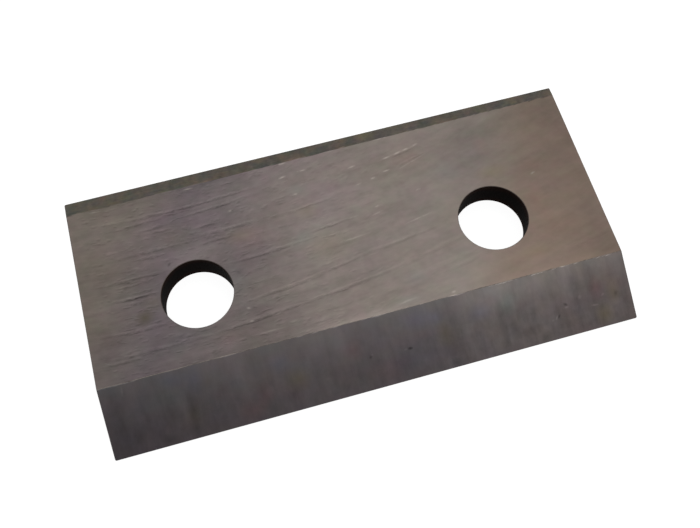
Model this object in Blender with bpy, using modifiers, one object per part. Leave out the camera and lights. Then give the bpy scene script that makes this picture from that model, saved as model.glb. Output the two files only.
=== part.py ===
"""Reversible chipper knife: one flat bar of hardened tool steel with a cutting edge along each long side.

The front edge is ground from the top face and the back edge from the underside, so the knife looks the
same after half a turn about its length. When one edge is dull, the knife is turned over on its seat.

Units are metres and +Z is up. X runs along the knife and Y across it, from the front edge to the back
edge. The origin is the middle of the underside, where the knife rests on its seat.
"""

import math

import bmesh
import bpy

LENGTH = 0.100
WIDTH = 0.050
THICKNESS = 0.006
CORNER_RADIUS = 0.0003

# The main bevel runs down from the ridge on the face to the cutting edge.
BEVEL_ANGLE = math.radians(26.0)
EDGE_FLAT = 0.0001

# A narrow land is ground on the face side of each cutting edge, and it falls away slightly to the edge.
LAND_WIDTH = 0.0023
LAND_DROP = 0.00015

# Two clearance holes for M12 bolts lie on the centre line.
HOLE_DIAMETER = 0.0135
HOLE_SPACING = 0.058
HOLE_DEBURR = 0.0002

# How finely the round stretches are faceted.
CORNER_STEPS = 4
HOLE_STEPS = 72

# How far each cutter reaches past the steel that it takes away.
OVERRUN = 0.004

KNIFE_MIDDLE = (0.0, 0.0, THICKNESS / 2)
TURNS = (("top", 0.0), ("underside", math.pi))


def clear_scene():
    for item in list(bpy.data.objects):
        bpy.data.objects.remove(item, do_unlink=True)


def new_collection(name):
    collection = bpy.data.collections.new(name)
    bpy.context.scene.collection.children.link(collection)
    return collection


def ground_steel():
    """Taupe grey of a surface-ground alloy steel, with a soft metal sheen."""
    material = bpy.data.materials.new("ground_tool_steel")
    material.use_nodes = True
    shader = material.node_tree.nodes["Principled BSDF"]
    shader.inputs["Base Color"].default_value = (0.270, 0.232, 0.205, 1.0)
    shader.inputs["Metallic"].default_value = 1.0
    shader.inputs["Roughness"].default_value = 0.42
    return material


def rounded_rectangle(length, width, radius, steps):
    """Corner points of a rectangle about the origin, each corner an arc, anticlockwise from +X +Y."""
    points = []
    for corner, (side_x, side_y) in enumerate(((1, 1), (-1, 1), (-1, -1), (1, -1))):
        centre_x = side_x * (length / 2 - radius)
        centre_y = side_y * (width / 2 - radius)
        for step in range(steps + 1):
            angle = (corner + step / steps) * math.pi / 2
            points.append((centre_x + radius * math.cos(angle), centre_y + radius * math.sin(angle)))
    return points


def bar_from_outline(name, outline, thickness, place, collection):
    """A flat bar as a mesh, from its outline drawn as a filled flat curve."""
    curve = bpy.data.curves.new(name + "_outline", "CURVE")
    curve.dimensions = "2D"
    curve.fill_mode = "BOTH"
    curve.extrude = thickness / 2
    spline = curve.splines.new("POLY")
    spline.points.add(len(outline) - 1)
    for point, (x, y) in zip(spline.points, outline):
        point.co = (x, y, 0.0, 1.0)
    spline.use_cyclic_u = True
    drawn = bpy.data.objects.new(curve.name, curve)
    drawn.location = place
    collection.objects.link(drawn)
    bpy.context.view_layer.update()

    evaluated = drawn.evaluated_get(bpy.context.evaluated_depsgraph_get())
    mesh = bpy.data.meshes.new_from_object(evaluated)
    mesh.name = name
    shape = bmesh.new()
    shape.from_mesh(mesh)
    bmesh.ops.remove_doubles(shape, verts=shape.verts, dist=1e-6)
    bmesh.ops.recalc_face_normals(shape, faces=shape.faces)
    shape.to_mesh(mesh)
    shape.free()
    mesh.shade_flat()

    bar = bpy.data.objects.new(name, mesh)
    bar.matrix_world = drawn.matrix_world
    collection.objects.link(bar)
    bpy.data.objects.remove(drawn, do_unlink=True)
    return bar


def as_cutter(item, collection):
    collection.objects.link(item)
    item.hide_render = True
    item.display_type = "WIRE"
    return item


def grinding_block(name, line_y, line_z, tilt, reach, collection):
    """A block whose underside is the ground plane: it holds the line at (line_y, line_z) and tilts about X.

    The block takes away the steel above that plane, up to the reach on each side of the line.
    """
    height = THICKNESS + OVERRUN
    shape = bmesh.new()
    bmesh.ops.create_cube(shape, size=1.0)
    bmesh.ops.scale(shape, vec=(LENGTH + 2 * OVERRUN, 2 * reach, height), verts=shape.verts)
    bmesh.ops.translate(shape, vec=(0.0, 0.0, height / 2), verts=shape.verts)
    mesh = bpy.data.meshes.new(name)
    shape.to_mesh(mesh)
    shape.free()
    block = bpy.data.objects.new(name, mesh)
    block.location = (0.0, line_y, line_z)
    block.rotation_euler = (tilt, 0.0, 0.0)
    return as_cutter(block, collection)


def drill(name, x, collection):
    """A turned cutter that bores one hole and breaks its rim on both faces."""
    radius = HOLE_DIAMETER / 2
    half = THICKNESS / 2
    flare = radius + HOLE_DEBURR + OVERRUN
    profile = (
        (0.0, half + OVERRUN),
        (flare, half + OVERRUN),
        (radius, half - HOLE_DEBURR),
        (radius, HOLE_DEBURR - half),
        (flare, -half - OVERRUN),
        (0.0, -half - OVERRUN),
    )
    shape = bmesh.new()
    points = [shape.verts.new((across, 0.0, along)) for across, along in profile]
    for upper, lower in zip(points, points[1:]):
        shape.edges.new((upper, lower))
    mesh = bpy.data.meshes.new(name)
    shape.to_mesh(mesh)
    shape.free()
    cutter = bpy.data.objects.new(name, mesh)
    cutter.location = (x, 0.0, THICKNESS / 2)
    turn = cutter.modifiers.new("Turn", "SCREW")
    turn.steps = HOLE_STEPS
    turn.render_steps = HOLE_STEPS
    turn.use_merge_vertices = True
    turn.merge_threshold = 1e-6
    return as_cutter(cutter, collection)


def cut(bar, cutter):
    """Takes the cutter out of the bar with a live Boolean."""
    modifier = bar.modifiers.new(cutter.name, "BOOLEAN")
    modifier.operation = "DIFFERENCE"
    modifier.solver = "EXACT"
    modifier.object = cutter


def side_frame(name, turn, collection):
    """The middle of the knife, seen from one of its two faces, which both get the same cuts."""
    frame = bpy.data.objects.new(name, None)
    frame.empty_display_size = WIDTH / 4
    frame.location = KNIFE_MIDDLE
    frame.rotation_euler = (turn, 0.0, 0.0)
    collection.objects.link(frame)
    return frame


clear_scene()
knife_parts = new_collection("Chipper knife")
cutters = new_collection("Cutters")

blank = rounded_rectangle(LENGTH, WIDTH, CORNER_RADIUS, CORNER_STEPS)
knife = bar_from_outline("knife", blank, THICKNESS, KNIFE_MIDDLE, knife_parts)
knife.data.materials.append(ground_steel())

for side, hole_x in (("left", -HOLE_SPACING / 2), ("right", HOLE_SPACING / 2)):
    cut(knife, drill("drill_" + side, hole_x, cutters))

bevel_reach = THICKNESS / math.sin(BEVEL_ANGLE) + OVERRUN
land_tilt = math.atan2(LAND_DROP, LAND_WIDTH)
edge_height = LAND_DROP + EDGE_FLAT - THICKNESS / 2

for face, half_turn in TURNS:
    frame = side_frame("seen_from_" + face, half_turn, cutters)
    bevel = grinding_block("bevel_" + face, -WIDTH / 2, edge_height, BEVEL_ANGLE, bevel_reach, cutters)
    land = grinding_block(
        "land_" + face, WIDTH / 2 - LAND_WIDTH, THICKNESS / 2, -land_tilt, LAND_WIDTH + OVERRUN, cutters
    )
    for block in (bevel, land):
        block.parent = frame
        cut(knife, block)
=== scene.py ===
"""Looks of a reversible chipper knife: a ground bar of tool steel, lying on a white studio floor."""

import math

import bmesh
import bpy
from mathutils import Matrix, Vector


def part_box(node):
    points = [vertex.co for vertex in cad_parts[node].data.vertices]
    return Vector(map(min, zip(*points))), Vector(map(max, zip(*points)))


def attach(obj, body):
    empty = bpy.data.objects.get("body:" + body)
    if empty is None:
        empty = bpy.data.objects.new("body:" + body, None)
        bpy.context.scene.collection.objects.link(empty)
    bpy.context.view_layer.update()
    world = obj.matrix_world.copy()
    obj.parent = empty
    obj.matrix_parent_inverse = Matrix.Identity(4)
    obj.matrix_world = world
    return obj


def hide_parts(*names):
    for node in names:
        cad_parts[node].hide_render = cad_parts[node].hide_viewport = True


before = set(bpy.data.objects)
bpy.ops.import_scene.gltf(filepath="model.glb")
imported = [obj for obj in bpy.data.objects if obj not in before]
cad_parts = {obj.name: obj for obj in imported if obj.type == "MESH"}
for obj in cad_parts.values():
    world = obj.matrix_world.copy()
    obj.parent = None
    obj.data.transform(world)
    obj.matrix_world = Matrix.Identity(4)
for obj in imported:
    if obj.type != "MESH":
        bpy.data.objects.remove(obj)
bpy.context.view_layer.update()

# Knife blank. The real piece is a length of flat tool-steel bar, cut off, drilled, hardened and then
# ground on every working face. The blank takes its size from the solid that it stands for, and each
# later cut leaves a flat that keeps the finish of the tool that made it.

MM = 0.001
knife_low, knife_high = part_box("knife")
knife_middle = (knife_low + knife_high) / 2
half_length, half_width, half_thickness = (knife_high - knife_low) / 2
end_x = half_length / MM
face_z = knife_high.z / MM

blank = bmesh.new()
bmesh.ops.create_cube(blank, size=2.0)
bmesh.ops.scale(blank, vec=(half_length, half_width, half_thickness), verts=blank.verts)
bmesh.ops.translate(blank, vec=knife_middle, verts=blank.verts)

# Ground faces. A rotary surface grinder leaves fine arcs, struck from a point behind the knife, and grit
# that dragged under the wheel leaves torn lines along them, each with a raised lip. The steel is taupe
# grey with faint mauve and olive clouds. It carries a few bright scratches and one oily stain.

SPINDLE = Vector((-33.0, 240.0, 0.0))
ON_PLAN = (1, 1, 0)
FACE_ROUGHNESS = 0.38
FACE_ANISOTROPY = 0.5
# The steel's colour along the knife, partly painted light: darker on the left, lighter in the middle and
# to the right.
FACE_COLOURS_AND_LIGHT = (
    (-50, "#7D746C"),
    (-36, "#706769"),
    (-15, "#736A67"),
    (5, "#7E756F"),
    (24, "#7E756F"),
    (34, "#7B6D63"),
    (46, "#7A6B61"),
)
COLOUR_SLANT = -0.45
SCRATCH_GREY = "#B9B0A8"
STAIN_OLIVE = "#4C482E"

# The wheel's pattern is noise. Each row has its cell in mm (along the arcs, across them and into the
# steel), how far it sways the tone, and its detail. Real grit marks are under 0.05 mm wide, too fine to
# show, so the finest streaks are drawn 0.2 mm wide, scuffs 0.5 mm and torn lines 0.3 to 0.9 mm.
WHEEL_BANDS = ((12.0, 1.8, 4.0), 0.32, 1.0)
WHEEL_STREAKS = ((6.0, 0.5, 4.0), 0.16, 3.0)
GRIT_STREAKS = ((2.0, 0.2, 4.0), 0.10, 2.0)
CLOUDS = ((9.0, 7.0, 4.0), 0.26, 2.0)
MOTTLE = ((2.0, 1.3, 4.0), 0.32, 1.0)
WOBBLE = ((3.0, 0.8, 4.0), 0.9, 2.0)
DASHES = ((1.2, 0.4, 4.0), 5.0, 2.0)
SCUFFS = ((2.0, 0.5, 4.0), 1.0, 1.0)

# Clouds of hue, each as its noise and the hue that the noise adds or takes away.
FACE_CLOUDS = (
    (((9.0, 4.0, 4.0), 1.0, 2.0), (0.02, -0.09, 0.06)),
    (((13.0, 8.0, 4.0), 1.0, 2.0), (0.03, 0.0, -0.08)),
    (((2.6, 2.0, 4.0), 1.0, 1.0), (0.10, -0.06, 0.04)),
)

# Fades along the knife, as inputs 1 to 4 of a Map Range: from one X to another, in mm, and from one
# share to another.
BANDS_FADE = {1: 0.0, 2: 30.0, 3: 1.0, 4: 0.6}
STREAKS_FADE = {1: -10.0, 2: 18.0, 3: 1.0, 4: 0.25}
SCUFFS_FADE = {1: -20.0, 2: 15.0, 3: 0.50, 4: 0.06}
SCUFFS_BY_END = {1: -49.0, 2: -46.0, 3: 0.2, 4: 1.0}

# Torn lines and scuffs: where in their noise the scuffs begin and are full, how full a line is between
# its gaps, how far its fading ends reach, as a share of its length, how far behind a groove its lip
# lies, in mm, the tones of the painted shade in a groove and the painted highlight on its lip, and the
# height of a groove.
SCUFF_RANGE = {1: 0.08, 2: 0.26}
DASH_SHARE = 0.9
LINE_REACH = 0.65
LIP_AWAY = 0.32
GROOVE_SHADE_TONE = -0.38
LIP_HIGHLIGHT_TONE = 0.34
GROOVE_HEIGHT = -0.4
BUMP_HEIGHT = 0.06 * MM

# Each row runs from one place to another, in mm from the middle of the face, with a width and a depth.
TORN_LINES = (
    (-27.5, 13.0, -22, 13.2, 0.44, 0.9),
    (-41, 10.6, -29, 10.7, 0.40, 1.0),
    (-39, 9.4, -33.5, 9.4, 0.38, 1.1),
    (-26, 9.6, -20, 9.7, 0.38, 0.8),
    (-43, 4.5, -37, 4.6, 0.38, 0.8),
    (-38, 15.2, -32, 15.4, 0.40, 0.8),
    (12.2, 17.7, 19.7, 19.2, 0.34, 0.6),
    (14.7, 15.6, 20.4, 17.2, 0.36, 0.5),
    (-48, -4.0, -35, -4.6, 0.42, 1.0),
    (-21, -4.2, -6, -2.8, 0.44, 1.0),
    (-8, -2.8, 2, -1.0, 0.34, 0.7),
    (-48, -8.6, -26, -8.7, 0.44, 0.8),
    (-26, -8.6, -12, -7.4, 0.44, 1.0),
    (-13, -7.6, 7, -5.2, 0.46, 0.9),
    (6, -5.4, 24, -1.8, 0.70, 0.5),
    (-42, 18.2, -14, 18.7, 0.42, 1.0),
    (-43, 16.6, -30, 17.3, 0.40, 0.7),
    (-28, 16.1, -15, 17.2, 0.42, 1.0),
    (-36, 14.3, -31, 14.3, 0.34, 0.9),
    (-27, 11.2, -14, 11.6, 0.44, 1.1),
    (-11, 11.4, 1, 12.6, 0.34, 0.7),
    (-46, 5.9, -34, 5.9, 0.40, 1.0),
    (-22, 4.2, -7, 5.0, 0.44, 1.1),
    (-5, 6.4, 1, 7.0, 0.34, 1.0),
    (-4, 4.6, 1, 4.6, 0.32, 0.8),
    (-45, 2.1, -36, 2.0, 0.42, 1.0),
    (-42, 1.1, -39, 0.9, 0.44, 1.3),
    (2, -0.9, 18, 1.0, 0.46, 0.6),
    (17, -8.2, 24, -7.0, 0.60, 0.5),
    (39, -10.7, 48, -8.8, 0.70, 0.5),
    (-48, -9.7, -41, -9.7, 0.42, 0.9),
    (-20, 6.6, -8, 8.0, 0.60, 0.35),
    (9, -8.4, 25, -5.6, 0.90, 0.45),
    (-4, 2.2, 6, 3.0, 0.60, 0.35),
)

# Short bright scratches and specks, where something hard has touched the finished face.
SCRATCHES = (
    (-8.7, 19.3, -7.2, 19.6, 0.28, 0.55),
    (-4.9, 19.9, -2.8, 19.9, 0.24, 0.45),
    (12.2, 18.1, 13.6, 18.3, 0.28, 0.42),
    (14.6, 18.5, 16.0, 18.8, 0.26, 0.42),
    (16.5, 18.9, 17.8, 19.2, 0.26, 0.42),
    (18.3, 19.3, 19.8, 19.7, 0.26, 0.42),
    (8.6, 14.4, 9.6, 14.6, 0.28, 0.40),
    (-45.5, 21.8, -43.5, 21.8, 0.26, 0.40),
    (-27.4, 21.9, -25.4, 21.9, 0.26, 0.40),
    (-8.6, 22.35, -6.6, 22.5, 0.26, 0.60),
    (1.0, 22.7, 3.6, 22.8, 0.24, 0.50),
    (11.6, 22.75, 14.8, 22.85, 0.26, 0.55),
    (5.0, 13.8, 6.6, 14.1, 0.26, 0.30),
    (7.6, 8.2, 8.6, 8.5, 0.26, 0.30),
    (16.4, -12.6, 17.2, -12.5, 0.30, 0.45),
    (4.9, 17.9, 6.5, 18.2, 0.26, 0.40),
    (11.3, 15.3, 12.8, 15.5, 0.26, 0.45),
    (14.7, 15.1, 20.4, 17.0, 0.24, 0.20),
    (12.6, 3.3, 17.6, 4.2, 0.24, 0.28),
    (-1.0, 2.8, 4.7, 3.3, 0.24, 0.20),
    (-20.6, -10.8, -15.0, -10.8, 0.24, 0.22),
    (-19.9, 15.0, -19.1, 15.1, 0.32, 0.45),
    (-7.0, 15.0, -6.0, 15.2, 0.32, 0.45),
    (16.4, 9.6, 17.4, 9.8, 0.28, 0.40),
    (39.2, 7.0, 40.2, 7.3, 0.28, 0.30),
    (-20.9, -5.3, -20.1, -5.5, 0.30, 0.40),
    (-20.9, -8.0, -20.1, -8.1, 0.30, 0.40),
    (2.2, 7.2, 4.0, 7.4, 0.24, 0.30),
    (6.3, 6.6, 9.0, 7.2, 0.24, 0.25),
    (6.0, -12.2, 9.6, -11.8, 0.30, 0.30),
)

# Soft patches of painted light and shade, brighter or duller where the room's light falls on the face,
# with painted highlights along the ridge and above the left hole, and last three dark specks, as centre,
# turn, half length, half width and tone. The stain has the same columns.
PAINTED_LIGHT_AND_SPECKS = (
    ((14.0, -14.5), 0.0, 38.0, 10.0, 0.24),
    ((-5.0, 15.0), 0.0, 16.0, 14.0, 0.18),
    ((44.0, 20.0), 0.0, 30.0, 22.0, -0.18),
    ((29.0, 16.0), 0.0, 8.0, 8.0, -0.10),
    ((-3.0, -13.1), 0.0, 13.0, 1.2, 0.26),
    ((-47.0, -7.5), 0.0, 4.0, 4.0, -0.16),
    ((36.0, -13.3), 0.0, 14.0, 1.6, 0.16),
    ((-18.0, -10.0), 0.0, 9.0, 6.0, -0.08),
    ((10.0, -10.0), 0.0, 12.0, 5.0, -0.10),
    ((12.0, 17.0), 0.0, 14.0, 8.0, -0.07),
    ((-29.0, 7.0), 0.0, 7.0, 4.0, 0.36),
    ((40.0, -10.0), 0.0, 9.0, 5.0, 0.05),
    ((48.0, -9.0), 0.0, 5.0, 8.0, -0.10),
    ((-7.0, 3.0), 0.0, 9.0, 11.0, 0.16),
    ((11.0, 6.0), 0.0, 11.0, 4.0, -0.10),
    ((-24.0, -13.0), 0.0, 12.0, 1.4, -0.12),
    ((-43.0, 12.0), 0.0, 8.0, 4.0, 0.12),
    ((-32.0, 21.0), 0.0, 22.0, 2.4, -0.09),
    ((-32.9, 7.1), 0.8, 0.60, 0.35, -0.50),
    ((5.2, 14.3), 0.1, 1.60, 0.60, -0.14),
    ((-20.8, 2.2), 0.0, 1.20, 0.80, -0.16),
)
STAIN = (((-39.2, -2.2), 0.3, 2.2, 1.8, 0.6),)

# Faint temper and oil tints: a hue that is added, then its spots, with the columns of the patches.
FACE_TINTS = (
    ((0.00, -0.04, 0.05), (
        ((-33.0, 16.5), 0.0, 6.0, 3.0, 1.0),
        ((-40.0, 21.0), 0.0, 4.0, 2.0, 0.8),
        ((-1.0, 14.0), 0.0, 4.0, 6.0, 0.5),
    )),
    ((0.06, -0.02, -0.02), (
        ((-17.0, 8.5), 0.0, 5.0, 3.0, 1.0),
        ((-25.0, -10.0), 0.0, 4.0, 2.0, 0.8),
        ((17.0, 17.0), 0.0, 4.0, 2.0, 1.0),
        ((38.5, 1.0), 0.0, 3.0, 5.0, 1.0),
        ((40.0, 9.0), 0.0, 3.0, 2.0, 0.8),
        ((32.0, 16.0), 0.0, 2.0, 3.0, 1.0),
        ((39.0, -5.0), 0.0, 8.0, 4.0, 0.8),
    )),
    ((0.02, 0.02, -0.09), (
        ((-31.0, 12.5), 0.0, 4.0, 4.0, 0.8),
        ((-37.0, 0.5), 0.0, 3.0, 2.0, 1.0),
        ((-19.0, 9.5), 0.0, 4.0, 2.0, 0.8),
        ((-5.0, 11.0), 0.0, 3.0, 2.0, 0.8),
        ((-3.0, 3.0), 0.0, 6.0, 4.0, 0.8),
        ((32.0, 9.5), 0.0, 4.0, 2.0, 1.0),
        ((34.5, -9.0), 0.0, 4.0, 2.0, 0.8),
    )),
    ((-0.06, 0.02, 0.03), (
        ((-21.5, 0.0), 0.0, 3.0, 7.0, 1.0),
        ((-33.0, -8.0), 0.3, 7.0, 3.0, 0.8),
        ((-5.5, 16.0), 0.0, 3.0, 2.0, 0.8),
        ((-7.0, 5.5), 0.0, 3.0, 2.0, 0.8),
        ((23.0, 12.0), 0.0, 4.0, 3.0, 0.8),
        ((11.0, -8.0), 0.0, 3.0, 2.0, 0.8),
        ((8.0, -12.0), 0.0, 4.0, 1.6, 0.8),
    )),
)

# The finishes of the knife, in the order of its material slots.
finishes = []


def linear(colour):
    """An sRGB hex colour as linear RGBA."""
    channels = [int(colour[start:start + 2], 16) / 255 for start in (1, 3, 5)]
    curve = [c / 12.92 if c <= 0.04045 else ((c + 0.055) / 1.055) ** 2.4 for c in channels]
    return (*curve, 1.0)


def node(tree, kind, inputs=None, **settings):
    """Adds a node with its settings. An input takes a value, or a link from a socket or from a node."""
    made = tree.nodes.new("ShaderNode" + kind)
    for name, value in settings.items():
        setattr(made, name, value)
    for name, value in (inputs or {}).items():
        if isinstance(value, bpy.types.Node):
            value = value.outputs[0]
        if isinstance(value, bpy.types.NodeSocket):
            tree.links.new(value, made.inputs[name])
        else:
            made.inputs[name].default_value = value
    return made


def new_finish(name, roughness, metallic=1.0):
    """A material for one finish of the knife: its node tree, its shader and the place on it in mm."""
    material = bpy.data.materials.new(name)
    material.use_nodes = True
    finishes.append(material)
    tree = material.node_tree
    shader = tree.nodes["Principled BSDF"]
    shader.inputs["Metallic"].default_value = metallic
    shader.inputs["Roughness"].default_value = roughness
    place = node(tree, "TexCoord").outputs["Object"]
    in_mm = node(tree, "Mapping", {"Vector": place, "Scale": (1 / MM, 1 / MM, 1 / MM)})
    return material, tree, shader, in_mm


def struck_arcs(tree, place):
    """How far along and across the wheel's arcs a place lies, in mm, with its height."""
    from_spindle = node(tree, "VectorMath", {0: place, 1: SPINDLE}, operation="SUBTRACT")
    reach = node(tree, "VectorMath", {0: from_spindle, 1: ON_PLAN}, operation="MULTIPLY")
    radius = node(tree, "VectorMath", {0: reach}, operation="LENGTH").outputs["Value"]
    offset = node(tree, "SeparateXYZ", {0: from_spindle})
    ahead = node(tree, "Math", {0: offset.outputs["Y"], 1: -1.0}, operation="MULTIPLY")
    turn = node(tree, "Math", {0: offset.outputs["X"], 1: ahead}, operation="ARCTAN2")
    sweep = node(tree, "Math", {0: turn, 1: SPINDLE.y}, operation="MULTIPLY")
    return node(tree, "CombineXYZ", {0: sweep, 1: radius, 2: offset.outputs["Z"]})


def along_lay(x, y):
    """A place on the knife, in mm from its middle, as the arcs count it: sweep and radius."""
    away = Vector((x, y, 0.0)) - SPINDLE
    return Vector((math.atan2(away.x, -away.y) * SPINDLE.y, away.length))


def grain(tree, place, cell, strength, detail):
    """Noise with the given cell in mm, as a tone about zero. Each cell has a start of its own."""
    drawn = node(tree, "Mapping", {
        "Vector": place,
        "Location": (sum(cell), cell[1] * 7, 0),
        "Scale": (1 / cell[0], 1 / cell[1], 1 / cell[2]),
    })
    noise = node(tree, "TexNoise", {"Vector": drawn, "Scale": 1.0, "Detail": detail, "Roughness": 0.6})
    return node(tree, "Math", {0: noise, 1: strength, 2: -strength / 2}, operation="MULTIPLY_ADD")


def marks(tree, place, centre_z, rows):
    """Soft spots and lines, each a row of centre, direction, half length, half width and strength."""
    so_far = 0.0
    for (centre_x, centre_y), direction, half_long, half_wide, strength in rows:
        spot = node(tree, "Mapping", {
            "Vector": place,
            "Location": (centre_x, centre_y, centre_z),
            "Rotation": (0, 0, direction),
            "Scale": (half_long, half_wide, 1.0),
        }, vector_type="TEXTURE")
        fade = node(tree, "TexGradient", {0: spot}, gradient_type="SPHERICAL").outputs[1]
        so_far = node(tree, "Math", {0: fade, 1: strength, 2: so_far}, operation="MULTIPLY_ADD")
    return so_far


def lines(rows):
    """Rows of marks for lines from one place to another, in mm, that fade out past both of them."""
    for from_x, from_y, to_x, to_y, width, strength in rows:
        start, end = along_lay(from_x, from_y), along_lay(to_x, to_y)
        run = end - start
        yield (start + end) / 2, math.atan2(run.y, run.x), run.length * LINE_REACH, width, strength


def tint_steel(tree, place, clouds, spots_place, spots_z, tints):
    """What the steel's colour is multiplied by: one, and clouds and spots that each add their hue."""
    tint = (1, 1, 1)
    for noise, hue in clouds:
        cloud = grain(tree, place, *noise)
        tint = node(tree, "VectorMath", {0: cloud, 1: hue, 2: tint}, operation="MULTIPLY_ADD")
    for hue, spots in tints:
        spot = marks(tree, spots_place, spots_z, spots)
        tint = node(tree, "VectorMath", {0: spot, 1: hue, 2: tint}, operation="MULTIPLY_ADD")
    return tint


def drift_along(tree, along, colours):
    """A colour that drifts along the knife, from rows of a place in mm and its colour."""
    share = node(tree, "MapRange", {0: along, 1: -end_x, 2: end_x})
    drift = node(tree, "ValToRGB", {0: share})
    while len(drift.color_ramp.elements) < len(colours):
        drift.color_ramp.elements.new(1.0)
    for stop, (x, colour) in zip(drift.color_ramp.elements, colours):
        stop.position = (x / end_x + 1) / 2
        stop.color = linear(colour)
    return drift


ground_face, tree, shader, in_mm = new_finish("surface_ground_tool_steel", FACE_ROUGHNESS)
lay = struck_arcs(tree, in_mm)
across = node(tree, "SeparateXYZ", {0: in_mm})

# Bands, streaks and mottle, which all calm down towards the right.
calmer = node(tree, "MapRange", {0: across.outputs["X"], **BANDS_FADE})
broad = node(tree, "Math", {0: grain(tree, lay, *WHEEL_BANDS), 1: calmer}, operation="MULTIPLY")
mottle = node(tree, "Math", {0: grain(tree, in_mm, *MOTTLE), 1: calmer}, operation="MULTIPLY")
cloud = grain(tree, in_mm, *CLOUDS)
medium = grain(tree, lay, *WHEEL_STREAKS)
fine = grain(tree, lay, *GRIT_STREAKS)
streaks = node(tree, "Math", {0: medium, 1: fine}, operation="ADD")
smoother = node(tree, "MapRange", {0: across.outputs["X"], **STREAKS_FADE})
streaks = node(tree, "Math", {0: streaks, 1: smoother}, operation="MULTIPLY")

# Torn lines and scuffs wander a little and break into dashes. Behind each groove lies its lip. Besides
# the groove's bump, the groove is painted darker as painted shade, and the lip lighter as a painted
# highlight.
shake = node(tree, "CombineXYZ", {1: grain(tree, lay, *WOBBLE)})
shaken = node(tree, "VectorMath", {0: lay, 1: shake}, operation="ADD")
behind = node(tree, "VectorMath", {0: shaken, 1: (0.0, LIP_AWAY, 0.0)}, operation="ADD")
dashes = grain(tree, lay, *DASHES)
dashed = node(tree, "Math", {0: dashes, 1: DASH_SHARE}, operation="ADD", use_clamp=True)
fewer = node(tree, "MapRange", {0: across.outputs["X"], **SCUFFS_FADE})
by_end = node(tree, "MapRange", {0: across.outputs["X"], **SCUFFS_BY_END})
fewer = node(tree, "Math", {0: fewer, 1: by_end}, operation="MULTIPLY")
torn = []
for place in (shaken, behind):
    line = marks(tree, place, face_z, lines(TORN_LINES))
    line = node(tree, "Math", {0: line, 1: dashed}, operation="MULTIPLY")
    scuff = node(tree, "MapRange", {0: grain(tree, place, *SCUFFS), **SCUFF_RANGE})
    torn.append(node(tree, "Math", {0: scuff, 1: fewer, 2: line}, operation="MULTIPLY_ADD"))
groove, lip_highlight = torn
scratch = marks(tree, lay, face_z, lines(SCRATCHES))
scratch = node(tree, "Math", {0: scratch, 1: dashed}, operation="MULTIPLY")

tone = 1.0
# All the patches are painted light and shade, apart from three dark specks.
for layer in (broad, streaks, cloud, mottle, marks(tree, in_mm, face_z, PAINTED_LIGHT_AND_SPECKS)):
    tone = node(tree, "Math", {0: tone, 1: layer}, operation="ADD")
# Painted shade in the grooves and a painted highlight on their lips.
tone = node(tree, "Math", {0: groove, 1: GROOVE_SHADE_TONE, 2: tone}, operation="MULTIPLY_ADD")
tone = node(tree, "Math", {0: lip_highlight, 1: LIP_HIGHLIGHT_TONE, 2: tone}, operation="MULTIPLY_ADD")
height = node(tree, "Math", {0: groove, 1: GROOVE_HEIGHT, 2: streaks}, operation="MULTIPLY_ADD")

# A face darkens at the land behind it and at the bevel in front. Both lines are ragged, because the torn
# lines run out over them at a slant. The underside is the same after half a turn about the length of the
# knife, so its land lies towards the front.

RIDGE_Y = 13.2
LAND_LEFT_Y = 22.3
LAND_RIGHT_Y = 23.1
NOTCHES = ((3.0, 0.4, 4.0), 1.0, 2.0)
FACE_AT_LAND = {1: -0.1, 2: 0.1, 3: 1.0, 4: 0.6}
FACE_AT_RIDGE = {1: 0.0, 2: 0.1, 3: 1.0, 4: 0.6}


def past_ragged_line(tree, lay, distance, line):
    """How far a place lies past a ragged line, in mm, where the line keeps the given distance."""
    past = node(tree, "Math", {0: distance, 1: line}, operation="SUBTRACT")
    return node(tree, "Math", {0: past, 1: grain(tree, lay, *NOTCHES)}, operation="ADD")


def land_start(tree, along):
    """How far from the middle of the knife a land starts, in mm: it tapers from left to right."""
    return node(tree, "MapRange", {0: along, 1: -end_x, 2: end_x, 3: LAND_LEFT_Y, 4: LAND_RIGHT_Y})


level = node(tree, "Math", {0: across.outputs["Z"], 1: knife_middle.z / MM}, operation="SUBTRACT")
side = node(tree, "Math", {0: level}, operation="SIGN")
to_land = node(tree, "Math", {0: across.outputs["Y"], 1: side}, operation="MULTIPLY")
to_ridge = node(tree, "Math", {0: to_land, 1: -1.0}, operation="MULTIPLY")
past_land = past_ragged_line(tree, lay, to_land, land_start(tree, across.outputs["X"]))
past_ridge = past_ragged_line(tree, lay, to_ridge, RIDGE_Y)
at_land = node(tree, "MapRange", {0: past_land, **FACE_AT_LAND})
at_ridge = node(tree, "MapRange", {0: past_ridge, **FACE_AT_RIDGE})
for layer in (at_land, at_ridge):
    tone = node(tree, "Math", {0: tone, 1: layer}, operation="MULTIPLY")

# The colour drifts along the knife, and its steps slant to the right towards the back. The drift is
# partly the steel's colour and partly painted light: darker on the left, lighter in the middle and to
# the right.
slant = node(tree, "Math", {0: across.outputs["Y"], 1: COLOUR_SLANT}, operation="MULTIPLY")
slanted = node(tree, "Math", {0: across.outputs["X"], 1: slant}, operation="ADD")
drift = drift_along(tree, slanted, FACE_COLOURS_AND_LIGHT)
tint = tint_steel(tree, in_mm, FACE_CLOUDS, in_mm, face_z, FACE_TINTS)
tinted = node(tree, "VectorMath", {0: drift, 1: tint}, operation="MULTIPLY")
toned = node(tree, "VectorMath", {0: tinted, "Scale": tone}, operation="SCALE")
scratched = node(tree, "MixRGB", {0: scratch, 1: toned, 2: linear(SCRATCH_GREY)})
stain = marks(tree, in_mm, face_z, STAIN)
stained = node(tree, "MixRGB", {0: stain, 1: scratched, 2: linear(STAIN_OLIVE)})
bump = node(tree, "Bump", {"Strength": 1.0, "Distance": BUMP_HEIGHT, "Height": height})

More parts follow.
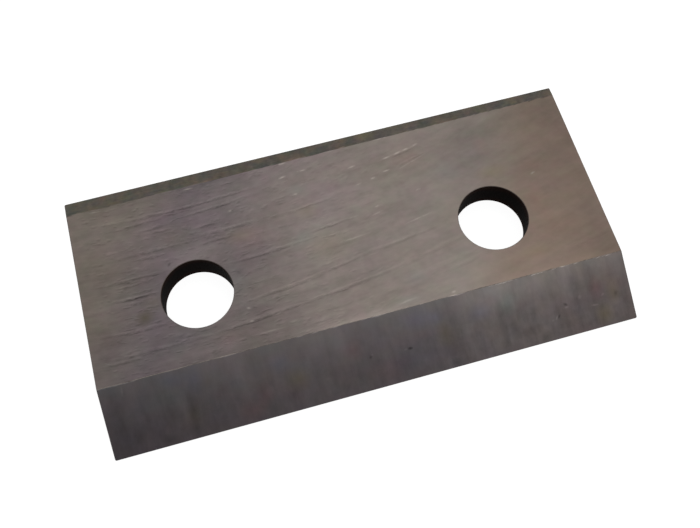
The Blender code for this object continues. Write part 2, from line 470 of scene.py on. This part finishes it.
# The sheen is drawn out at a right angle to the arcs.
from_spindle = node(tree, "VectorMath", {0: in_mm, 1: SPINDLE}, operation="SUBTRACT")
reach = node(tree, "VectorMath", {0: from_spindle, 1: ON_PLAN}, operation="MULTIPLY")
tangent = node(tree, "VectorMath", {0: reach}, operation="NORMALIZE")
tree.links.new(stained.outputs[0], shader.inputs["Base Color"])
tree.links.new(bump.outputs[0], shader.inputs["Normal"])
tree.links.new(tangent.outputs[0], shader.inputs["Tangent"])
shader.inputs["Anisotropic"].default_value = FACE_ANISOTROPY

for face in blank.faces:
    face.material_index = finishes.index(ground_face)

# The flats that run from end to end, as a point and a normal from the middle of the knife.
long_flats = [(Vector((0, 0, side * half_thickness)), Vector((0, 0, side))) for side in (1, -1)]

# Cutting bevels. A cup wheel grinds them across the edge after hardening, so they carry soft smears at a
# right angle to the edge. They are a cooler and darker grey than the faces, partly their own colour and
# partly painted shade. Painted light makes them lighter towards the right end and towards the ridge. A
# few dark chips and painted glints at nicks lie near the right end.

BEVEL_ANGLE = math.radians(26.0)
EDGE_HEIGHT = 0.25 * MM
BEVEL_ROUGHNESS = 0.42
BEVEL_ANISOTROPY = 0.3
# The bevel's colour along the knife, partly its own and partly painted shade: darker than the faces, and
# darkest on the left.
BEVEL_COLOURS_AND_SHADE = (
    (-50, "#595356"),
    (-30, "#615A5C"),
    (10, "#676062"),
    (30, "#6D6564"),
    (50, "#665D5C"),
)

# The smears have the columns of the wheel's pattern, with cells along the knife, across it and in
# height. Real ones are finer, and the finest is drawn 0.6 mm wide so that it shows.
SMEARS = (
    ((7.0, 30.0, 30.0), 0.20, 2.0),
    ((3.2, 8.0, 20.0), 0.32, 2.0),
    ((1.3, 5.0, 12.0), 0.34, 3.0),
    ((0.6, 2.0, 5.0), 0.10, 2.0),
    ((2.2, 1.8, 4.0), 0.36, 3.0),
)
SMEARS_FADE = {1: 5.0, 2: 20.0, 3: 1.0, 4: 1.4}
BEVEL_CLOUDS = (
    (((3.5, 4.0, 5.0), 1.0, 1.0), (-0.10, 0.0, 0.12)),
    (((6.0, 3.0, 5.0), 1.0, 1.0), (0.09, -0.08, 0.04)),
)

# The painted light that the bevel gains on its way up to the ridge, as tone and hue, and more tone at
# the ragged line.
UPWARD_PAINTED_LIGHT = 0.60
UPWARD_PAINTED_HUE = (0.0, 0.05, 0.0)
BEVEL_AT_RIDGE = {1: 0.0, 2: 0.1, 3: 1.7, 4: 1.0}
CUT_TOLERANCE = 1e-8

# Soft bands where the wheel rubbed brighter or duller, and first two painted sheens high on the right of
# the bevel: centre, turn, half length, half width, tone.
BANDS_AND_SHEENS = (
    ((25.5, -14.0), 0.0, 11.0, 4.5, 0.46),
    ((40.0, -14.0), 0.0, 10.0, 3.5, 0.20),
    ((5.0, -14.0), 0.0, 12.0, 4.0, -0.12),
    ((6.0, -21.5), 0.0, 7.0, 5.0, -0.12),
    ((14.4, -18.5), 0.0, 2.4, 6.0, -0.26),
    ((17.6, -19.5), 0.0, 1.3, 7.0, 0.16),
    ((20.8, -17.5), 0.0, 2.4, 5.0, 0.12),
    ((24.3, -19.5), 0.0, 1.1, 7.0, -0.20),
    ((26.4, -21.2), 0.0, 1.0, 1.6, -0.16),
    ((30.6, -19.0), 0.0, 0.9, 4.0, -0.14),
    ((32.0, -24.0), 0.0, 1.4, 1.0, -0.26),
    ((37.6, -17.0), 0.0, 1.3, 5.0, 0.24),
    ((39.7, -17.5), 0.0, 1.5, 5.0, -0.24),
    ((42.5, -16.5), 0.0, 2.2, 2.2, -0.18),
    ((45.5, -22.2), 0.0, 3.2, 2.8, 0.16),
    ((47.0, -20.0), 0.0, 1.6, 1.4, -0.16),
    ((14.2, -24.2), 0.0, 1.4, 0.9, -0.22),
    ((-6.0, -17.0), 0.0, 1.3, 4.5, 0.12),
    ((-10.0, -14.5), 0.0, 5.0, 3.0, 0.10),
    ((-13.4, -21.0), 0.0, 2.2, 5.0, 0.12),
    ((-16.2, -20.0), 0.0, 1.6, 3.0, -0.14),
    ((-22.0, -14.0), 0.0, 5.0, 2.5, -0.12),
    ((-25.5, -17.0), 0.0, 3.2, 7.0, 0.12),
    ((-34.4, -20.5), 0.0, 1.1, 5.0, -0.20),
    ((-36.0, -19.5), 0.0, 1.0, 5.0, 0.14),
    ((-40.0, -24.0), 0.0, 1.6, 1.1, -0.24),
    ((-44.6, -21.8), 0.0, 1.3, 3.4, -0.20),
    ((-47.5, -17.0), 0.0, 2.8, 8.0, -0.14),
)

# Chips are dark, and nicks are bright painted glints. They have the same columns.
CHIPS_AND_GLINTS = (
    ((6.3, -19.9), -0.1, 0.60, 0.32, -0.65),
    ((5.4, -19.9), 0.2, 0.45, 0.25, 0.25),
    ((-1.2, -19.6), 0.5, 0.45, 0.35, -0.35),
    ((-0.9, -19.3), 0.5, 0.35, 0.22, 0.25),
    ((36.9, -19.6), -0.6, 0.55, 0.35, -0.60),
    ((37.0, -20.1), 0.1, 0.45, 0.25, 0.50),
    ((39.9, -19.0), 0.5, 0.50, 0.40, 0.35),
    ((33.9, -21.7), 0.3, 0.35, 0.20, 0.35),
    ((46.9, -20.0), 1.2, 0.80, 0.45, -0.30),
    ((34.7, -21.4), 0.9, 0.55, 0.22, 0.50),
    ((35.2, -21.3), 0.9, 0.55, 0.25, -0.45),
    ((42.5, -21.0), -0.1, 0.85, 0.22, 0.50),
    ((44.4, -19.6), 0.4, 0.50, 0.25, 0.45),
    ((-45.8, -14.5), 1.4, 0.90, 0.30, 0.35),
    ((-9.8, -21.2), 0.0, 0.60, 0.40, 0.16),
    ((-20.5, -20.6), 0.4, 1.00, 0.80, 0.14),
)

# Faint temper and oil tints: a hue that is added, then its spots, with the same columns.
TEMPER_TINTS = (
    ((0.05, 0.03, -0.17), (
        ((-15.0, -20.0), 0.0, 3.2, 2.4, 1.0),
        ((13.2, -19.0), 0.0, 2.0, 2.6, 0.8),
        ((-34.5, -21.5), 0.0, 1.8, 2.6, 0.5),
        ((44.0, -23.0), 0.0, 2.4, 2.2, 1.0),
        ((46.5, -19.5), 0.0, 1.8, 2.6, 0.8),
    )),
    ((0.15, -0.06, -0.03), (
        ((-24.0, -23.0), 0.0, 3.2, 2.2, 0.9),
        ((-21.5, -21.0), 0.0, 2.0, 2.2, 0.8),
        ((-4.0, -17.6), 0.0, 2.4, 2.2, 0.6),
        ((43.4, -18.2), 0.0, 1.8, 2.6, 1.0),
        ((1.0, -22.5), 0.0, 5.0, 3.4, 0.3),
    )),
    ((-0.09, -0.02, 0.14), (
        ((8.5, -15.4), 0.0, 3.6, 2.4, 0.9),
        ((-37.0, -14.8), 0.0, 3.4, 1.6, 0.7),
        ((-33.0, -15.5), 0.0, 2.2, 2.8, 0.8),
        ((-18.0, -16.8), 0.0, 2.6, 1.8, 0.6),
        ((12.2, -15.8), 0.0, 2.0, 1.8, 0.8),
        ((20.5, -17.2), 0.0, 2.8, 1.8, 0.8),
        ((7.0, -21.0), 0.0, 5.0, 4.0, 0.3),
    )),
    ((-0.10, 0.04, 0.02), (
        ((-38.0, -17.2), 0.0, 7.0, 2.4, 0.6),
        ((26.0, -17.0), 0.0, 2.4, 2.4, 1.0),
    )),
)


def paint(tree, shader, colour, tone):
    """Gives a finish its colour, brighter or darker by its tone."""
    toned = node(tree, "VectorMath", {0: colour, "Scale": tone}, operation="SCALE")
    tree.links.new(toned.outputs[0], shader.inputs["Base Color"])


def grind(point, normal, finish):
    """Takes off the steel outside a plane, given from the middle of the knife, and finishes the flat."""
    everything = blank.verts[:] + blank.edges[:] + blank.faces[:]
    cut = bmesh.ops.bisect_plane(
        blank,
        geom=everything,
        dist=CUT_TOLERANCE,
        plane_co=knife_middle + Vector(point),
        plane_no=Vector(normal).normalized(),
        clear_outer=True,
    )
    rim = [item for item in cut["geom_cut"] if isinstance(item, bmesh.types.BMEdge)]
    for flat in bmesh.ops.holes_fill(blank, edges=rim, sides=0)["faces"]:
        flat.material_index = finishes.index(finish)


ground_bevel, tree, shader, in_mm = new_finish("cup_wheel_ground_bevel", BEVEL_ROUGHNESS)
across = node(tree, "SeparateXYZ", {0: in_mm})
on_plan = node(tree, "VectorMath", {0: in_mm, 1: ON_PLAN}, operation="MULTIPLY")
from_centre = node(tree, "Math", {0: across.outputs["Y"]}, operation="ABSOLUTE")
up_bevel = node(tree, "MapRange", {0: from_centre, 1: half_width / MM, 2: RIDGE_Y})
up_squared = node(tree, "Math", {0: up_bevel, 1: up_bevel}, operation="MULTIPLY")
smears = 0.0
for noise in SMEARS:
    smears = node(tree, "Math", {0: smears, 1: grain(tree, in_mm, *noise)}, operation="ADD")
rougher = node(tree, "MapRange", {0: across.outputs["X"], **SMEARS_FADE})
smears = node(tree, "Math", {0: smears, 1: rougher}, operation="MULTIPLY")
# Painted light: the bevel lightens on its way up to the ridge.
tone = node(tree, "Math", {0: up_squared, 1: UPWARD_PAINTED_LIGHT, 2: 1.0}, operation="MULTIPLY_ADD")
# The bands carry two painted sheens, and the bright nicks among the chips are painted glints.
for layer in (smears, marks(tree, on_plan, 0.0, BANDS_AND_SHEENS), marks(tree, on_plan, 0.0, CHIPS_AND_GLINTS)):
    tone = node(tree, "Math", {0: tone, 1: layer}, operation="ADD")
past_ridge = past_ragged_line(tree, struck_arcs(tree, in_mm), from_centre, RIDGE_Y)
at_ridge = node(tree, "MapRange", {0: past_ridge, **BEVEL_AT_RIDGE})
tone = node(tree, "Math", {0: tone, 1: at_ridge}, operation="MULTIPLY")
drift = drift_along(tree, across.outputs["X"], BEVEL_COLOURS_AND_SHADE)
tint = tint_steel(tree, in_mm, BEVEL_CLOUDS, on_plan, 0.0, TEMPER_TINTS)
tint = node(tree, "VectorMath", {0: up_squared, 1: UPWARD_PAINTED_HUE, 2: tint}, operation="MULTIPLY_ADD")
tinted = node(tree, "VectorMath", {0: drift, 1: tint}, operation="MULTIPLY")
paint(tree, shader, tinted, tone)
shader.inputs["Anisotropic"].default_value = BEVEL_ANISOTROPY

for side in (1, -1):
    edge = Vector((0, -side * half_width, side * (EDGE_HEIGHT - half_thickness)))
    normal = Vector((0, -side * math.sin(BEVEL_ANGLE), side * math.cos(BEVEL_ANGLE)))
    long_flats.append((edge, normal))
    grind(edge, normal, ground_bevel)

# Ridges. The line where a bevel meets a face is broken by a few strokes of a stone. Its bright and
# uneven thread of steel is a painted highlight.

RIDGE_RADIUS = 0.35 * MM
RIDGE_FACETS = (0.25, 0.5, 0.75)
RIDGE_HIGHLIGHT_GREY = "#A29890"
RIDGE_ROUGHNESS = 0.4
RIDGE_GRAINS = (((2.5, 1.0, 1.0), 0.6, 3.0), ((0.5, 0.3, 0.3), 0.6, 2.0))
RIDGE_TONE = {1: -0.1, 2: 0.1, 3: 0.75, 4: 0.45}

# Painted glints along the ridge, as centre, turn, half length, half width and tone.
RIDGE_GLINTS = (
    ((4.0, -13.2), 0.0, 15.0, 1.0, 0.55),
    ((-40.0, -13.2), 0.0, 4.0, 1.0, 0.35),
    ((-27.0, -13.2), 0.0, 2.0, 1.0, 0.30),
    ((16.5, -13.2), 0.0, 0.8, 1.0, 1.00),
    ((38.0, -13.2), 0.0, 0.8, 1.0, 0.80),
)

# The ridge's colour is a painted highlight, broken by noise and glints.
stoned_ridge_highlight, tree, shader, in_mm = new_finish("stoned_ridge_highlight", RIDGE_ROUGHNESS)
on_plan = node(tree, "VectorMath", {0: in_mm, 1: ON_PLAN}, operation="MULTIPLY")
across = node(tree, "SeparateXYZ", {0: in_mm})
from_centre = node(tree, "Math", {0: across.outputs["Y"]}, operation="ABSOLUTE")
past_ridge = past_ragged_line(tree, struck_arcs(tree, in_mm), from_centre, RIDGE_Y)
tone = node(tree, "MapRange", {0: past_ridge, **RIDGE_TONE})
for noise in RIDGE_GRAINS:
    tone = node(tree, "Math", {0: tone, 1: grain(tree, in_mm, *noise)}, operation="ADD")
tone = node(tree, "Math", {0: tone, 1: marks(tree, on_plan, 0.0, RIDGE_GLINTS)}, operation="ADD")
paint(tree, shader, linear(RIDGE_HIGHLIGHT_GREY)[:3], tone)

bevel_run = (2 * half_thickness - EDGE_HEIGHT) / math.tan(BEVEL_ANGLE)
arc_y = bevel_run - half_width + RIDGE_RADIUS * math.tan(BEVEL_ANGLE / 2)
arc_middle = Vector((0, arc_y, half_thickness - RIDGE_RADIUS))
for side in (1, -1):
    for share in RIDGE_FACETS:
        turn = share * BEVEL_ANGLE
        out = Vector((0, -math.sin(turn), math.cos(turn)))
        grind(side * (arc_middle + out * RIDGE_RADIUS), side * out, stoned_ridge_highlight)

# Edge lands. Each cutting edge is backed off on its face side by a narrow flat, which is finished on
# a finer wheel and reads as a dark olive stripe.

LAND_DROP = 0.15 * MM
LAND_OLIVE = "#56514A"
LAND_ROUGHNESS = 0.4
LAND_GRAINS = (
    ((6.0, 0.4, 1.0), 0.30, 2.0),
    ((0.8, 0.4, 1.0), 0.50, 2.0),
    ((1.6, 3.0, 1.0), 0.65, 2.0),
    ((4.0, 2.0, 1.0), 0.75, 2.0),
)
LAND_CLOUDS = (
    (((3.0, 2.0, 1.0), 1.0, 2.0), (-0.40, 0.12, -0.25)),
    (((4.0, 2.0, 1.0), 1.0, 2.0), (0.40, -0.04, -0.60)),
)
LAND_FADE = {1: -50.0, 2: -10.0, 3: 1.25, 4: 1.0}
LAND_AT_FACE = {1: -0.1, 2: 0.1, 3: 1.6, 4: 1.0}

edge_land, tree, shader, in_mm = new_finish("fine_ground_edge_land", LAND_ROUGHNESS)
across = node(tree, "SeparateXYZ", {0: in_mm})
tone = node(tree, "MapRange", {0: across.outputs["X"], **LAND_FADE})
for noise in LAND_GRAINS:
    tone = node(tree, "Math", {0: tone, 1: grain(tree, in_mm, *noise)}, operation="ADD")
from_centre = node(tree, "Math", {0: across.outputs["Y"]}, operation="ABSOLUTE")
land_from = land_start(tree, across.outputs["X"])
past_land = past_ragged_line(tree, struck_arcs(tree, in_mm), from_centre, land_from)
at_land = node(tree, "MapRange", {0: past_land, **LAND_AT_FACE})
tone = node(tree, "Math", {0: tone, 1: at_land}, operation="MULTIPLY")
tint = tint_steel(tree, in_mm, LAND_CLOUDS, in_mm, 0.0, ())
tinted = node(tree, "VectorMath", {0: linear(LAND_OLIVE)[:3], 1: tint}, operation="MULTIPLY")
paint(tree, shader, tinted, tone)

for side in (1, -1):
    left = Vector((-half_length, side * LAND_LEFT_Y * MM, side * half_thickness))
    right = Vector((half_length, side * LAND_RIGHT_Y * MM, side * half_thickness))
    edge = Vector((0, side * half_width, side * (half_thickness - LAND_DROP)))
    normal = (right - left).cross(edge - left).normalized()
    long_flats.append((edge, normal))
    grind(left, normal, edge_land)

# Ends. The bar is cut to length on a mill and its sharp corners are broken with a file: along the end of
# each long flat, and round the four upright corners.

END_BREAK = 0.08 * MM
CORNER_RADIUS = 0.3 * MM
CORNER_FACETS = (22.5, 45.0, 67.5)
END_GREY = "#5A5450"
END_ROUGHNESS = 0.5
END_GRAINS = (((4.0, 0.25, 8.0), 0.5, 2.0), ((4.0, 5.0, 3.0), 0.3, 2.0))

milled_end, tree, shader, in_mm = new_finish("milled_bar_end", END_ROUGHNESS)
tone = 1.0
for noise in END_GRAINS:
    tone = node(tree, "Math", {0: tone, 1: grain(tree, in_mm, *noise)}, operation="ADD")
paint(tree, shader, linear(END_GREY)[:3], tone)

blank.normal_update()
for face in blank.faces:
    if abs(face.normal.x) > 0.5:
        face.material_index = finishes.index(milled_end)

for end in (1, -1):
    outwards = Vector((end, 0, 0))
    corner = outwards * half_length
    for point, normal in long_flats:
        start = corner + normal * normal.dot(point - corner)
        grind(start - outwards * END_BREAK, outwards + normal, milled_end)

    for side in (1, -1):
        centre = Vector((end * (half_length - CORNER_RADIUS), side * (half_width - CORNER_RADIUS), 0))
        for turn in map(math.radians, CORNER_FACETS):
            out = Vector((end * math.cos(turn), side * math.sin(turn), 0))
            grind(centre + out * CORNER_RADIUS, out, milled_end)

bmesh.ops.recalc_face_normals(blank, faces=blank.faces)

# Bolt holes. Two clearance holes are drilled before hardening. Their walls are near black, partly
# furnace scale and partly painted shade inside the holes, and are rubbed to a rusty brown near the
# faces. A light countersink takes the burr off each rim.

HOLE_RADIUS = 6.75 * MM
HOLE_X = 29.0 * MM
HOLE_FACETS = 144
RIM_BREAK = 0.1 * MM
DRILL_OVERRUN = 1.0 * MM
MERGE_WITHIN = 1e-7
SHARP_ANGLE = math.radians(5)
SCALE_AND_SHADE_BLACK = "#0D0807"
SCALE_ROUGHNESS = 0.9
SCALE_SHEEN = 0.05
SCALE_GRAINS = (((20.0, 20.0, 0.3), 0.8, 2.0), ((2.0, 2.0, 1.5), 0.9, 3.0))
RUST_BROWN = "#2A1A16"
RUST_RANGE = {1: 1.2, 2: 3.0}
RUST_PATCHES = ((3.0, 3.0, 3.0), 2.0, 2.0)
RIM_GREY = "#6A615C"
RIM_ROUGHNESS = 0.4
RIM_GRAIN = ((1.5, 1.5, 1.5), 0.5, 2.0)

# Near black: partly furnace scale, partly painted shade of the holes.
bore_scale_and_shade, tree, shader, in_mm = new_finish("drilled_bore_scale_and_painted_shade", SCALE_ROUGHNESS, 0.0)
tone = 1.0
for noise in SCALE_GRAINS:
    tone = node(tree, "Math", {0: tone, 1: grain(tree, in_mm, *noise)}, operation="ADD")
toned = node(tree, "VectorMath", {0: linear(SCALE_AND_SHADE_BLACK)[:3], "Scale": tone}, operation="SCALE")
place_z = node(tree, "SeparateXYZ", {0: in_mm}).outputs["Z"]
from_middle = node(tree, "Math", {0: place_z, 1: knife_middle.z / MM}, operation="SUBTRACT")
from_middle = node(tree, "Math", {0: from_middle}, operation="ABSOLUTE")
rubbed = node(tree, "Math", {0: from_middle, 1: grain(tree, in_mm, *RUST_PATCHES)}, operation="ADD")
by_rim = node(tree, "MapRange", {0: rubbed, **RUST_RANGE})
rusted = node(tree, "MixRGB", {0: by_rim, 1: toned, 2: linear(RUST_BROWN)})
tree.links.new(rusted.outputs[0], shader.inputs["Base Color"])
shader.inputs["Specular IOR Level"].default_value = SCALE_SHEEN

deburred_rim, tree, shader, in_mm = new_finish("countersunk_hole_rim", RIM_ROUGHNESS)
tone = node(tree, "Math", {0: grain(tree, in_mm, *RIM_GRAIN), 1: 1.0}, operation="ADD")
paint(tree, shader, linear(RIM_GREY)[:3], tone)

beyond = half_thickness + DRILL_OVERRUN
flare = HOLE_RADIUS + RIM_BREAK + DRILL_OVERRUN
drill_profile = (
    (0, beyond),
    (flare, beyond),
    (HOLE_RADIUS, half_thickness - RIM_BREAK),
    (HOLE_RADIUS, RIM_BREAK - half_thickness),
    (flare, -beyond),
    (0, -beyond),
)
drills = bmesh.new()
for hole_x in (-HOLE_X, HOLE_X):
    line = [drills.verts.new(knife_middle + Vector((hole_x + out, 0, up))) for out, up in drill_profile]
    strokes = [drills.edges.new(pair) for pair in zip(line, line[1:])]
    bmesh.ops.spin(
        drills, geom=line + strokes, cent=knife_middle + Vector((hole_x, 0, 0)), axis=(0, 0, 1),
        angle=math.tau, steps=HOLE_FACETS, use_merge=True,
    )
bmesh.ops.remove_doubles(drills, verts=drills.verts, dist=MERGE_WITHIN)
bmesh.ops.recalc_face_normals(drills, faces=drills.faces)
for face in drills.faces:
    face.material_index = finishes.index(bore_scale_and_shade if abs(face.normal.z) < 0.1 else deburred_rim)

# The drills leave the blank by a Boolean, which is then applied.
knife_mesh = bpy.data.meshes.new("ground_knife")
blank.to_mesh(knife_mesh)
drill_mesh = bpy.data.meshes.new("drills")
drills.to_mesh(drill_mesh)
for material in finishes:
    knife_mesh.materials.append(material)
    drill_mesh.materials.append(material)
knife = bpy.data.objects.new("ground_knife", knife_mesh)
drill = bpy.data.objects.new("drills", drill_mesh)
for item in (knife, drill):
    bpy.context.scene.collection.objects.link(item)
bore = knife.modifiers.new("Bolt holes", "BOOLEAN")
bore.object = drill
bore.solver = "EXACT"
bore.operation = "DIFFERENCE"
drilled = bpy.data.meshes.new_from_object(knife.evaluated_get(bpy.context.evaluated_depsgraph_get()))
knife.modifiers.clear()
knife.data = drilled
bpy.data.objects.remove(drill)
drilled.shade_smooth()
drilled.set_sharp_from_angle(angle=SHARP_ANGLE)

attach(knife, "root")
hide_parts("knife")

# Studio floor. A white sweep. The camera and the steel see it as plain white, and the little light that
# it returns by itself keeps a faint shadow round the knife.

FLOOR_HALF = 3.0
FLOOR_BELOW = 0.02 * MM
FLOOR_GREY = "#898989"
FLOOR_GLOW = 0.93
FLOOR_ROUGHNESS = 0.9

floor_shape = bmesh.new()
bmesh.ops.create_grid(floor_shape, x_segments=1, y_segments=1, size=FLOOR_HALF)
bmesh.ops.translate(floor_shape, vec=(0, 0, knife_low.z - FLOOR_BELOW), verts=floor_shape.verts)
floor_mesh = bpy.data.meshes.new("studio_floor")
floor_shape.to_mesh(floor_mesh)
floor = bpy.data.objects.new("studio_floor", floor_mesh)
bpy.context.scene.collection.objects.link(floor)

floor_white = bpy.data.materials.new("white_sweep")
floor_white.use_nodes = True
tree = floor_white.node_tree
shader = tree.nodes["Principled BSDF"]
shader.inputs["Base Color"].default_value = linear(FLOOR_GREY)
shader.inputs["Roughness"].default_value = FLOOR_ROUGHNESS
shader.inputs["Specular IOR Level"].default_value = 0.0
seen = node(tree, "LightPath").outputs
plainly = node(tree, "Math", {0: seen["Is Camera Ray"], 1: seen["Is Glossy Ray"]}, operation="ADD")
plainly = node(tree, "Math", {0: plainly, 1: seen["Is Transmission Ray"]}, operation="ADD")
glow = node(tree, "Math", {0: plainly, 1: FLOOR_GLOW}, operation="MULTIPLY")
tree.links.new(glow.outputs[0], shader.inputs["Emission Strength"])
shader.inputs["Emission Color"].default_value = (1, 1, 1, 1)
floor_mesh.materials.append(floor_white)

# Studio light. A pale room, brightest behind and to the right of the knife and dim in front, where the
# photographer stands. A soft box hangs high up behind the knife, where the top face mirrors it, and
# a weaker one stands in front on the right.

ROOM_LEVEL = 0.62
ROOM_TO_BACK = 0.26
ROOM_TO_RIGHT = 0.22
LAMP_AWAY = 0.8
LAMPS = (
    ("soft_box", (0.17, 0.39, 0.905), 0.40, 0.38),
    ("front_fill", (0.60, -0.55, 0.60), 0.40, 0.25),
)

world = bpy.data.worlds.new("pale_studio")
bpy.context.scene.world = world
world.use_nodes = True
tree = world.node_tree
background = tree.nodes["Background"]
ray = node(tree, "TexCoord").outputs["Generated"]
towards = (ROOM_TO_RIGHT, ROOM_TO_BACK, 0)
lean = node(tree, "VectorMath", {0: ray, 1: towards}, operation="DOT_PRODUCT").outputs["Value"]
level = node(tree, "Math", {0: lean, 1: ROOM_LEVEL}, operation="ADD")
tree.links.new(level.outputs[0], background.inputs["Strength"])
background.inputs["Color"].default_value = (1, 1, 1, 1)

for name, direction, size, watts in LAMPS:
    light = bpy.data.lights.new(name, "AREA")
    light.shape = "SQUARE"
    light.size = size
    light.energy = watts
    lamp = bpy.data.objects.new(name, light)
    bpy.context.scene.collection.objects.link(lamp)
    lamp.location = Vector(direction).normalized() * LAMP_AWAY
    lamp.rotation_euler = lamp.location.to_track_quat("Z", "Y").to_euler()

# Camera. It stands a little to the left in front of the knife and looks down on it, as in the photo.

LENS = 45.94
SENSOR_WIDTH = 36.0
CLIP_START = 0.01
CAMERA_PLACE = Vector((-18.79, -66.29, 159.77)) * MM
CAMERA_AIM = Vector((-0.20, -1.96, 6.0)) * MM
CAMERA_ROLL = math.radians(0.37)

camera_data = bpy.data.cameras.new("camera")
camera_data.lens = LENS
camera_data.sensor_width = SENSOR_WIDTH
camera_data.clip_start = CLIP_START
camera = bpy.data.objects.new("camera", camera_data)
bpy.context.scene.collection.objects.link(camera)
camera.location = CAMERA_PLACE
facing = (CAMERA_AIM - CAMERA_PLACE).to_track_quat("-Z", "Y").to_matrix()
camera.rotation_euler = facing.to_euler()
camera.rotation_euler.rotate_axis("Z", CAMERA_ROLL)
bpy.context.scene.camera = camera

bpy.context.scene.view_settings.view_transform = "Standard"
